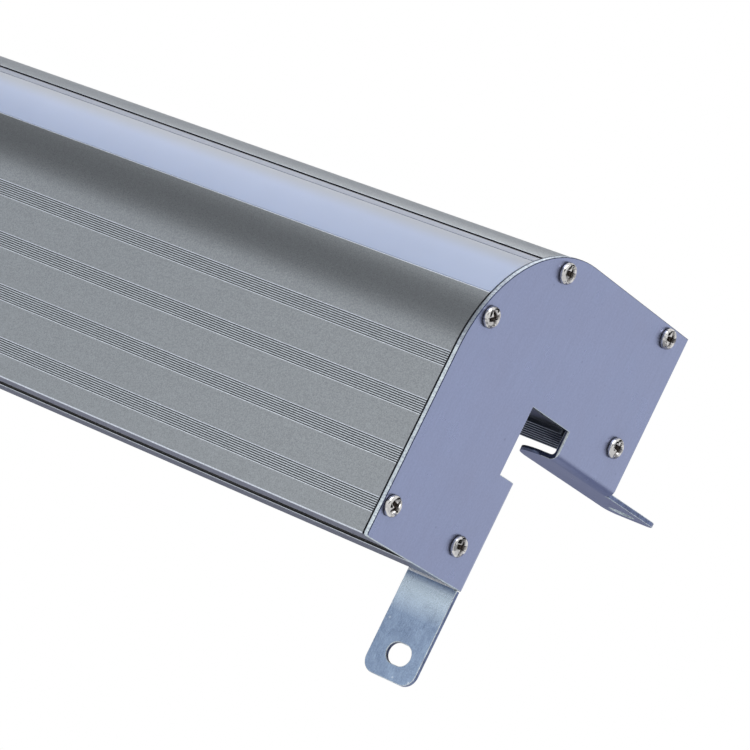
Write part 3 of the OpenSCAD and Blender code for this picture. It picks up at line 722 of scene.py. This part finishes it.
def roundLoop(loop, radius, values):
    # small radius on each sharp corner, and a holding point on each side of it
    made = []
    for i, here in enumerate(loop):
        a, b = here - loop[i - 1], loop[(i + 1) % len(loop)] - here
        turn = abs(math.degrees(a.angle_signed(b)))
        if turn < values["cornerTurn"]:
            made.append(here)
            continue
        reach = min(radius * math.tan(math.radians(turn) / 2), values["cornerShare"] * a.length,
                    values["cornerShare"] * b.length)
        start, end = here - a.normalized() * reach, here + b.normalized() * reach
        if a.length > 2 * (reach + values["margin"]):
            made.append(start - a.normalized() * values["margin"])
        for k in range(values["cornerSteps"] + 1):
            t = k / values["cornerSteps"]
            made.append(start * (1 - t) ** 2 + here * 2 * t * (1 - t) + end * t ** 2)
        if b.length > 2 * (reach + values["margin"]):
            made.append(end + b.normalized() * values["margin"])
    return made


def endTree(tree, geometry, finish):
    real = addNode(tree, "GeometryNodeRealizeInstances", Geometry=geometry)
    finished = addNode(tree, "GeometryNodeSetMaterial", Geometry=real.outputs[0],
                       Material=finish)
    addNode(tree, "NodeGroupOutput", Geometry=finished.outputs[0])
    return tree


def makeSweepTree():
    tree, given = newGroup("profileSweep", "GeometryNodeTree", [
        ("Geometry", "Geometry"),
        ("Length", "Float", 1000.0),
        ("Start", "Float", 0.0),
        ("Crease", "Float", 0.8),
        ("Finish", "Material"),
    ], [("Geometry", "Geometry")])
    curve = addNode(tree, "GeometryNodeMeshToCurve", Mesh=given["Geometry"])
    face = addNode(tree, "GeometryNodeFillCurve", Curve=curve.outputs[0])
    drawn = addNode(tree, "GeometryNodeExtrudeMesh", Mesh=face.outputs[0],
                    **{"Offset Scale": given["Length"], "Individual": False})
    flipped = addNode(tree, "GeometryNodeFlipFaces", Mesh=face.outputs[0])
    joined = addNode(tree, "GeometryNodeJoinGeometry", Geometry=drawn.outputs["Mesh"])
    tree.links.new(flipped.outputs[0], joined.inputs[0])
    merged = addNode(tree, "GeometryNodeMergeByDistance", Geometry=joined.outputs[0],
                     Distance=0.001)
    shift = addNode(tree, "ShaderNodeCombineXYZ", X=given["Start"])
    placed = addNode(tree, "GeometryNodeTransform", Geometry=merged.outputs[0],
                     Translation=shift.outputs[0], Scale=(mm, mm, mm),
                     Rotation=(math.pi / 2, 0, math.pi / 2))
    smooth = addNode(tree, "GeometryNodeSetShadeSmooth", {"domain": "FACE"},
                     Geometry=placed.outputs[0], **{"Shade Smooth": True})
    angle = addNode(tree, "GeometryNodeInputMeshEdgeAngle")
    sharp = addNode(tree, "FunctionNodeCompare",
                    {"data_type": "FLOAT", "operation": "GREATER_THAN"},
                    i0=angle.outputs[0], i1=given["Crease"])
    creased = addNode(tree, "GeometryNodeSetShadeSmooth", {"domain": "EDGE"},
                      Geometry=smooth.outputs[0], Selection=sharp.outputs[0],
                      **{"Shade Smooth": False})
    return endTree(tree, creased.outputs[0], given["Finish"])


def plainPiece(host, tree, values, name):
    # runs the tree on the host and keeps its result as a plain mesh object
    modifier = host.modifiers.new("shape", "NODES")
    modifier.node_group = tree
    for item in tree.interface.items_tree:
        if item.in_out == "INPUT" and item.name in values:
            modifier[item.identifier] = values[item.name]
    bpy.context.view_layer.update()
    evaluated = host.evaluated_get(bpy.context.evaluated_depsgraph_get())
    mesh = bpy.data.meshes.new_from_object(evaluated)
    mesh.name = name
    mesh.materials.clear()
    mesh.materials.append(values["Finish"])
    mesh.polygons.foreach_set("material_index", [0] * len(mesh.polygons))
    host.modifiers.remove(modifier)
    bpy.data.objects.remove(host)
    return newObject(name, mesh)


def steadyNormals(piece):
    modifier = piece.modifiers.new("flatFaces", "WEIGHTED_NORMAL")
    modifier.mode = "FACE_AREA"
    modifier.weight = 60
    modifier.keep_sharp = True


sweepTree = makeSweepTree()


def sweepPiece(name, nodeName, material, radius, slot):
    low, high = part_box(nodeName)
    points, edges = [], []
    for loop in endLoops(nodeName):
        shape = roundLoop(refineArcs(tidyLoop(loop), sweepValues), radius, sweepValues)
        base = len(points)
        points += [(spot.x, spot.y, 0) for spot in shape]
        edges += [(base + i, base + (i + 1) % len(shape)) for i in range(len(shape))]
    piece = plainPiece(newPiece(name + "Section", points, edges), sweepTree, {
        "Length": (high.x - low.x) / mm,
        "Start": low.x,
        "Crease": math.radians(sweepValues["crease"]),
        "Finish": material,
    }, name)
    steadyNormals(piece)
    handOver(piece, nodeName)
    return piece


blackRubber = finishes["blackRubber"]
longPieces = {  # CAD node, finish, corner radius in mm and slot
    "profileBody": ("housing", profileMetals[0], 0.22, "housing"),
    "footRubberStrip": ("rubber_strip_foot", blackRubber, 0.5, "black_rubber"),
    "rearRubberStrip": ("rubber_strip_rear", blackRubber, 0.5, "black_rubber"),
    "milkyLightCover": ("light_cover", milkyCover, 0.2, "milky_cover"),
}
swept = {name: sweepPiece(name, *row) for name, row in longPieces.items()}


# painted shade and painted highlights of the profile's faces, by their places in mm on the lower
# leg
shadeValues = {
    "front": -68.9,
    "back": -12.2,
    "foot": -60.8,
    "mouthFar": -33.0,
    "mouthNear": 2.0,
    "mouthTop": 1.6,
    "firstGroup": 11.7,
    "groupPitch": 19.5,
    "groups": 4,
    "groupHalf": 2.725,
    "grooveDepth": 0.45,
    "floorDepth": 0.22,
    "lineDepth": 0.15,
    "lineHeight": 0.36,
    "slack": 0.02,
    "ribHeight": 1.7,
    "narrow": 0.3,
    "footHeight": 9.0,
    "gapAcross": (13.4, 14.95),
    "gapRadius": (49.0, 54.5),
    "lipDepth": 0.62,
    "backSlack": 0.05,
    "facing": 0.9,  # this and the next two are limits for parts of a normal
    "floorFacing": 0.3,
    "downFacing": 0.2,
    "plain": (1.0, 1.0, 1.0),
    # colour multipliers: below one is painted shade, above one is painted highlight
    "groove": (0.11, 0.11, 0.12),
    "ridge": (1.68, 1.70, 1.72),
    "brightLine": (2.35, 2.35, 2.4),
    "cornerLine": (2.1, 2.1, 2.2),
    "paintedFootShade": (0.84, 0.84, 0.89),
    "paintedBackShade": (0.50, 0.51, 0.56),
    "ribTip": (0.95, 0.97, 1.10),
    "paintedGapShade": (0.02, 0.02, 0.035),
    "paintedLipHighlightAndShade": (4.6, 4.6, 4.7),
}


def profileShade(y, z, ny, nz, width, values):
    # painted shade in the grooves, at the foot, the back and the gap; painted highlights on
    # ridges, lines, corners and rib tips; both on the lip wall
    facing, slack, foot = values["facing"], values["slack"], values["foot"]
    spot = Vector((y, z)) - Vector(sweepValues["noseCentre"])
    across = spot.dot(direction(sweepValues["stripTurn"]))
    (nearest, farthest), (inner, outer) = values["gapAcross"], values["gapRadius"]
    if nearest < across < farthest and inner < spot.length < outer:
        return "paintedGapShade"
    if y + z > 0:  # the upper leg is judged as the lower one
        y, z, ny, nz = -z, -y, -nz, -ny
    inMouth = values["mouthFar"] < y < values["back"] - values["mouthNear"]
    if ny < -facing and inMouth and z < foot + values["mouthTop"]:
        return "paintedLipHighlightAndShade"
    depth = y - values["front"]
    half = values["groupHalf"]
    for group in range(values["groups"]):
        middle = foot + values["firstGroup"] + group * values["groupPitch"]
        below = middle - half - z
        if depth < values["grooveDepth"] and below < slack and z < middle + half + slack:
            if depth > values["floorDepth"] or abs(ny) < values["floorFacing"]:
                return "groove"
            return "brightLine" if nz < -values["downFacing"] else "ridge"
        if depth < values["lineDepth"] and 0 < below < values["lineHeight"]:
            return "brightLine"
    rise = y - values["back"]
    if rise > -values["backSlack"]:
        return "ribTip" if rise > values["ribHeight"] else "paintedBackShade"
    if width < values["narrow"]:
        return "cornerLine"
    return "paintedFootShade" if nz < -facing and z < foot + values["footHeight"] else "plain"


def shadeProfile(piece, values):
    mesh = piece.data
    mesh.materials.clear()
    for material in profileMetals:
        mesh.materials.append(material)
    # faces with painted shade take the darker copy; the lip wall takes the less metallic one
    kinds = {"paintedFootShade": 1, "paintedBackShade": 1, "paintedGapShade": 1, "paintedLipHighlightAndShade": 2}
    slots, shades = [], []
    for polygon in mesh.polygons:
        spot, normal = polygon.center / mm, polygon.normal
        places = [mesh.vertices[i].co.yz / mm for i in polygon.vertices]
        kind = "plain"
        if abs(normal.x) <= values["facing"]:
            width = max((a - b).length for a in places for b in places)
            kind = profileShade(spot.y, spot.z, normal.y, normal.z, width, values)
        slots.append(kinds.get(kind, 0))
        for place in places:
            level = 1.0
            if kind == "paintedLipHighlightAndShade":  # painted highlight at the mouth, fading to painted shade against the rubber strip
                depth = min(place.y, -place.x) - values["foot"]
                level = 1 - depth / values["lipDepth"]
            shades.extend(part * level for part in values[kind])
    mesh.polygons.foreach_set("material_index", slots)
    layer = mesh.attributes.new("shade", "FLOAT_VECTOR", "CORNER")
    layer.data.foreach_set("vector", shades)


def markAcross(piece, values):
    # distance from the middle of the light strip, in mm, for its finish
    centre, axis = Vector(values["noseCentre"]), direction(values["stripTurn"])
    layer = piece.data.attributes.new("across", "FLOAT", "POINT")
    layer.data.foreach_set("value", [
        (Vector((vertex.co.y / mm, vertex.co.z / mm)) - centre).dot(axis)
        for vertex in piece.data.vertices
    ])


shadeProfile(swept["profileBody"], shadeValues)
markAcross(swept["milkyLightCover"], sweepValues)
print("long pieces shaded")


# plates and gaskets: the CAD shape with its edges broken; lengths are in metres
plateValues = {
    "edgeRadius": 0.25 * mm,
    "edgeTurn": 28.0,
    "edgeSteps": 2,
    "flatTurn": 0.6,
    "keenReach": 1.6 * mm,
    "gasketRadius": 0.08 * mm,
    "sheet": 2.0 * mm,
    "sheetSlack": 0.05 * mm,
    "arcRadius": 54.4 * mm,
    "notch": 15.8 * mm,
    "bend": 3.5 * mm,
    "foot": 60.8 * mm,
    "legBack": 12.2 * mm,
    "rimBand": 0.5 * mm,
    "slotHeight": (-38 * mm, -24 * mm),  # from the foot
    "slotDepth": (6 * mm, 21 * mm),
    "slack": 0.1 * mm,
}


def brokenEdges(nodeName, name, radius, values, keenCorner=None, keepLength=0.0):
    # edges as long as keepLength stay keen
    work = cadCopy(nodeName, keenCorner, values["keenReach"])
    bmesh.ops.dissolve_limit(work, angle_limit=math.radians(values["flatTurn"]),
                             verts=work.verts, edges=work.edges)
    sharp = [
        edge
        for edge in work.edges
        if len(edge.link_faces) == 2
        and edge.calc_face_angle() > math.radians(values["edgeTurn"])
        and abs(edge.calc_length() - keepLength) > values["sheetSlack"]
    ]
    bmesh.ops.bevel(work, geom=sharp, offset=radius, offset_type="OFFSET",
                    segments=values["edgeSteps"], profile=0.5, affect="EDGES",
                    clamp_overlap=keepLength == 0)
    piece = smoothPiece(name, work)
    steadyNormals(piece)
    return piece


def sheetSide(depth, spot, normal, outwards, values):
    # which of the sheet's finishes a face has, edges taking painted highlight and painted shade
    # copies by where they face; normals are compared with parts of one
    square, steep, tilted, rimmed, rolled = 0.95, 0.9, 0.25, 0.2, 0.15
    y, z, ny, nz = spot.y, spot.z, normal.y, normal.z
    nx = normal.x * outwards
    foot, slack = values["foot"], values["slack"]
    upper = y + z > 0
    if upper:  # the upper leg is judged as the lower one
        y, z, ny, nz = -z, -y, -nz, -ny
    if y > -values["bend"] - slack and z < -values["notch"] + 2 * slack:  # ear and its bend
        if depth < values["bend"] and z > -foot - slack:
            if nz > steep:
                return "notch"
            if abs(nz) > tilted:
                return "shade" if nz < -steep else "bright"
            return "outer" if nx + ny > 0 else "inner"
        if abs(ny) > square:
            return "outer" if ny > 0 else "inner"
        (low, high), (near, far) = values["slotHeight"], values["slotDepth"]
        inSlot = low < z + foot < high and near < depth < far
        if inSlot and not upper and abs(ny) < rolled:
            return "shade"
        return "bright" if abs(ny) > rolled or inSlot else "band"
    if abs(nx) > square:
        return "outer" if nx > 0 else "inner"
    if z < -foot + values["rimBand"]:
        return "bright"
    centre = Vector(sweepValues["noseCentre"]) * mm
    onRim = abs(nx) < rimmed
    outside = (spot.yz - centre).length > values["arcRadius"] - values["rimBand"]
    if outside and onRim and spot.z > centre.y:
        return "arc"
    inNotch = y > -values["legBack"] - 2 * slack and z > -values["notch"] - 2 * slack
    if inNotch and onRim and nz > steep:
        return "notch"
    return "shade" if inNotch == onRim else "bright"


def makePlate(nodeName, name, outwards, values):
    low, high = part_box(nodeName)
    piece = brokenEdges(nodeName, name, values["edgeRadius"], values,
                        Vector((values["foot"], high.z)), values["sheet"])
    for material in sheetFinishes.values():
        piece.data.materials.append(material)
    slots = list(sheetFinishes)
    faceX = high.x if outwards > 0 else low.x
    for polygon in piece.data.polygons:
        depth = (faceX - polygon.center.x) * outwards
        side = sheetSide(depth, polygon.center, polygon.normal, outwards, values)
        polygon.material_index = slots.index(side)
    handOver(piece, nodeName)


def makeGasket(nodeName, name, values):
    piece = brokenEdges(nodeName, name, values["gasketRadius"], values)
    piece.data.materials.append(blackRubber)
    handOver(piece, nodeName)


makePlate("end_plate_near", "nearEndPlate", 1, plateValues)
makePlate("end_plate_far", "farEndPlate", -1, plateValues)
makeGasket("end_gasket_near", "nearGasket", plateValues)
makeGasket("end_gasket_far", "farGasket", plateValues)


# end screws: one pan head with its cross recess, set on the screw places by nodes; in mm
screwValues = {
    "head": 8.5,
    "height": 2.8,
    "shoulder": 0.42,
    "dome": 2.7,
    "shank": 4.0,
    "length": 14.0,
    "tip": (0.8, 0.7),  # length and step
    "recess": 6.0,
    "recessDepth": 2.1,
    "wing": 1.05,
    "wingTaper": 0.16,
    "wallReach": 0.16,
    "tipReach": 0.35,
    "ramp": 0.55,
    "core": 1.15,
    # depth where the recess's painted shade is full
    "fullShadeDepth": 1.4,
    "rings": 34,
    "ringPower": 0.9,
    "spokes": 72,
    "turn": 1.5,  # largest, in radians
    "seed": 7,
    "farSeed": 27,
}


def recessDepth(x, y, values):
    reach = values["recess"] / 2
    deepest = 0.0
    for along, across in ((abs(x), abs(y)), (abs(y), abs(x))):
        half = values["wing"] * (1 - values["wingTaper"] * along / reach)
        wall = (half - across) / values["wallReach"]
        tip = (reach - along) / values["tipReach"]
        slope = values["recessDepth"] * (1 - values["ramp"] * along / reach)
        deepest = max(deepest, slope * min(1.0, max(0.0, wall)) * min(1.0, max(0.0, tip)))
    core = values["recessDepth"] * max(0.0, 1 - (math.hypot(x, y) / values["core"]) ** 2)
    return max(deepest, core)


def headHeight(radius, values):
    # low dome with a well rounded shoulder
    share = min(1.0, radius / (values["head"] / 2))
    rise = math.sqrt(max(0.0, 1 - share ** values["dome"]))
    return values["height"] * (values["shoulder"] + (1 - values["shoulder"]) * rise)


def makeScrewMaster(values):
    work = bmesh.new()
    cross = work.verts.layers.float.new("cross")
    reach, shank, spokes = values["head"] / 2, values["shank"] / 2, values["spokes"]
    tipLength, tipStep = values["tip"]

    def addRing(radius, height=None, dark=None):
        row = []
        for spoke in range(spokes):
            angle = 2 * math.pi * spoke / spokes
            y, z = radius * math.cos(angle), radius * math.sin(angle)
            sunk = recessDepth(y, z, values) if height is None else 0.0
            level = headHeight(radius, values) - sunk if height is None else height
            vertex = work.verts.new((level * mm, y * mm, z * mm))
            # painted shade, deeper in the recess
            vertex[cross] = min(1.0, sunk / values["fullShadeDepth"]) if dark is None else dark
            row.append(vertex)
        return row

    top = work.verts.new(((headHeight(0, values) - recessDepth(0, 0, values)) * mm, 0, 0))
    top[cross] = 1.0
    rows = [addRing(reach * (ring / values["rings"]) ** values["ringPower"])
            for ring in range(1, values["rings"] + 1)]
    for radius, height, dark in (  # rim, seat, shank and tip; the last number is their painted shade
        (reach, 0.75, 0.25),
        (reach, 0.4, 0.95),
        (reach - 0.12, 0.0, 0.95),
        (shank, 0.0, 0.5),
        (shank, tipLength - values["length"], 0.0),
        (shank - tipStep, -values["length"], 0.0),
    ):
        rows.append(addRing(radius, height, dark))
    for spoke in range(spokes):
        other = (spoke + 1) % spokes
        work.faces.new((top, rows[0][spoke], rows[0][other]))
    for upper, lower in zip(rows, rows[1:]):
        for spoke in range(spokes):
            other = (spoke + 1) % spokes
            work.faces.new((upper[spoke], lower[spoke], lower[other], upper[other]))
    work.faces.new(list(reversed(rows[-1])))
    bmesh.ops.recalc_face_normals(work, faces=work.faces)
    return smoothPiece("panHeadScrew", work)


def makeScrewTree(values):
    tree, given = newGroup("screwRow", "GeometryNodeTree", [
        ("Geometry", "Geometry"),
        ("Screw", "Object"),
        ("Turn", "Float", 0.0),
        ("Seed", "Int", 1),
        ("Finish", "Material"),
    ], [("Geometry", "Geometry")])
    master = addNode(tree, "GeometryNodeObjectInfo", Object=given["Screw"])
    spin = addNode(tree, "FunctionNodeRandomValue", {"data_type": "FLOAT"}, i2=0.0,
                   i3=values["turn"], Seed=given["Seed"])
    way = addNode(tree, "ShaderNodeCombineXYZ", X=spin.outputs[1], Z=given["Turn"])
    turned = addNode(tree, "FunctionNodeEulerToRotation", i0=way.outputs[0])
    spread = addNode(tree, "GeometryNodeInstanceOnPoints", Points=given["Geometry"],
                     Instance=master.outputs["Geometry"], Rotation=turned.outputs[0])
    return endTree(tree, spread.outputs[0], given["Finish"])


def screwPlaces(nodeName):
    # middle of each loose screw of the CAD node
    work = cadCopy(nodeName)
    left = set(work.verts)
    places = []
    while left:
        stack, group = [left.pop()], []
        while stack:
            vertex = stack.pop()
            group.append(vertex.co.copy())
            for edge in vertex.link_edges:
                other = edge.other_vert(vertex)
                if other in left:
                    left.remove(other)
                    stack.append(other)
        ys, zs = [spot.y for spot in group], [spot.z for spot in group]
        places.append(((min(ys) + max(ys)) / 2, (min(zs) + max(zs)) / 2))
    work.free()
    return sorted(places)


screwTree = makeScrewTree(screwValues)
screwMaster = makeScrewMaster(screwValues)


def screwRow(nodeName, name, sign, seed, values):
    low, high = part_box(nodeName)
    seat = (high.x if sign > 0 else low.x) - sign * values["height"] * mm
    host = newPiece(name + "Places", [(seat, y, z) for y, z in screwPlaces(nodeName)])
    piece = plainPiece(host, screwTree, {
        "Screw": screwMaster,
        "Turn": 0.0 if sign > 0 else math.pi,
        "Seed": seed,
        "Finish": screwSteel,
    }, name)
    handOver(piece, nodeName)


screwRow("end_screws_near", "nearEndScrews", 1, screwValues["seed"], screwValues)
screwRow("end_screws_far", "farEndScrews", -1, screwValues["farSeed"], screwValues)
bpy.data.objects.remove(screwMaster)


# floor, lamps, cards and white surroundings, in metres and watts
lowZ = cadBox[0].z - 0.0001
studioValues = {
    "floor": 0.86,
    "floorTone": 0.98,
    "floorHalf": 9.0,
    "floorDrop": 0.0003,
    "floorFade": (1.2, 3.2),
    "floorGrain": 140.0,
    "skyLevel": 0.62,
}
lamps = {  # place, target, size and power
    "keySoftbox": ((1.2, -1.9, 2.3), (0.2, 0, 0), (2.2, 1.6), 42),
    "fillSoftbox": ((-2.2, 1.6, 2.0), (0.0, 0, 0), (2.0, 1.6), 22),
}
cards = {  # place, target, size and shade
    "darkCard": ((-1.75, -1.55, 1.45), (0.3, 0, 0), (3.4, 1.6), (0.075, 0.075, 0.082)),
    "backCard": ((-1.15, 1.55, 1.05), (0.4, 0, 0), (3.0, 1.5), (0.32, 0.33, 0.36)),
    "cameraCard": ((2.4, -2.1, -0.1), (0.5, 0, 0), (1.1, 2.0), (0.03, 0.03, 0.03)),
    "sideCard": ((2.25, 0.5, 0.25), (0.5, 0, 0), (0.9, 2.2), (0.02, 0.02, 0.02)),
    "topCard": ((1.45, 1.35, 1.3), (0.5, 0, 0), (2.0, 0.7), (0.03, 0.03, 0.03)),
    "wallCard": ((-0.95, -0.55, 0.03), (-0.95, 0.0, 0.03), (1.9, 0.3), (0.80, 0.81, 0.83)),
    "lowCard": ((-1.5, 1.3, lowZ), (-1.5, 1.3, 1.0), (4.4, 2.3), (0.25, 0.265, 0.36)),
    "underCard": ((-0.05, -0.045, lowZ), (-0.05, -0.045, 1.0), (1.2, 0.16), (1.0, 1.0, 1.0)),
}


def makeFloor(values):
    half, height = values["floorHalf"], cadBox[0].z - values["floorDrop"]
    floor = newPiece("studioFloor", [(x * half, y * half, height) for x, y in corners],
                     faces=[(0, 1, 2, 3)])
    material, tree = newMaterial("paleFloor")
    place = objectPlace(tree)
    distance = addNode(tree, "ShaderNodeVectorMath", {"operation": "LENGTH"}, i0=place)
    fade = ranged(tree, distance.outputs["Value"], 0.0, 1.0, *values["floorFade"])
    side = addNode(tree, "ShaderNodeNewGeometry").outputs["Backfacing"]
    clear = calc(tree, "MAXIMUM", fade, side)
    grain = noise(tree, place, values["floorGrain"], 3.0)
    level = values["floor"]
    shade = mixColours(tree, grain, (level * values["floorTone"],) * 3 + (1,),
                       (level,) * 3 + (1,))
    matte = addNode(tree, "ShaderNodeBsdfDiffuse", Color=shade).outputs[0]
    seeThrough = addNode(tree, "ShaderNodeBsdfTransparent").outputs[0]
    mixed = addNode(tree, "ShaderNodeMixShader", i0=clear, i1=matte, i2=seeThrough)
    addNode(tree, "ShaderNodeOutputMaterial", Surface=mixed.outputs[0])
    floor.data.materials.append(material)


def makeWorld(values):
    world = bpy.data.worlds.new("whiteRoom")
    scene.world = world
    world.use_nodes = True
    tree = world.node_tree
    tree.nodes.clear()
    path = addNode(tree, "ShaderNodeLightPath").outputs
    seen = calc(tree, "MAXIMUM", path["Is Camera Ray"], path["Is Glossy Ray"])
    seen = calc(tree, "MAXIMUM", seen, path["Is Transmission Ray"])
    sky = addNode(tree, "ShaderNodeBackground", Color=(1, 1, 1, 1),
                  Strength=ranged(tree, seen, values["skyLevel"], 1.0))
    addNode(tree, "ShaderNodeOutputWorld", Surface=sky.outputs[0])


def aimed(place, target):
    return (Vector(target) - Vector(place)).to_track_quat("-Z", "Y")


def makeLamp(name, place, target, size, power):
    data = bpy.data.lights.new(name, "AREA")
    data.shape = "RECTANGLE"
    data.size, data.size_y = size
    data.energy = power
    lamp = newObject(name, data)
    lamp.location = place
    lamp.rotation_euler = aimed(place, target).to_euler()
    lamp.visible_camera = False


def makeCard(name, place, target, size, shade):
    # studio card, seen in reflections only
    where = Matrix.Translation(place) @ aimed(place, target).to_matrix().to_4x4()
    points = [where @ Vector((x * size[0] / 2, y * size[1] / 2, 0)) for x, y in corners]
    card = newPiece(name, points, faces=[(0, 1, 2, 3)])
    material, tree = newMaterial(name + "Cloth")
    cloth = addNode(tree, "ShaderNodeEmission", Color=shade + (1,), Strength=1.0)
    addNode(tree, "ShaderNodeOutputMaterial", Surface=cloth.outputs[0])
    card.data.materials.append(material)
    card.visible_camera = False
    card.visible_diffuse = False
    card.visible_shadow = False
    card.visible_transmission = False


scene.view_settings.view_transform = "Standard"
makeFloor(studioValues)
makeWorld(studioValues)
for name, row in lamps.items():
    makeLamp(name, *row)
for name, row in cards.items():
    makeCard(name, *row)
print("studio set")
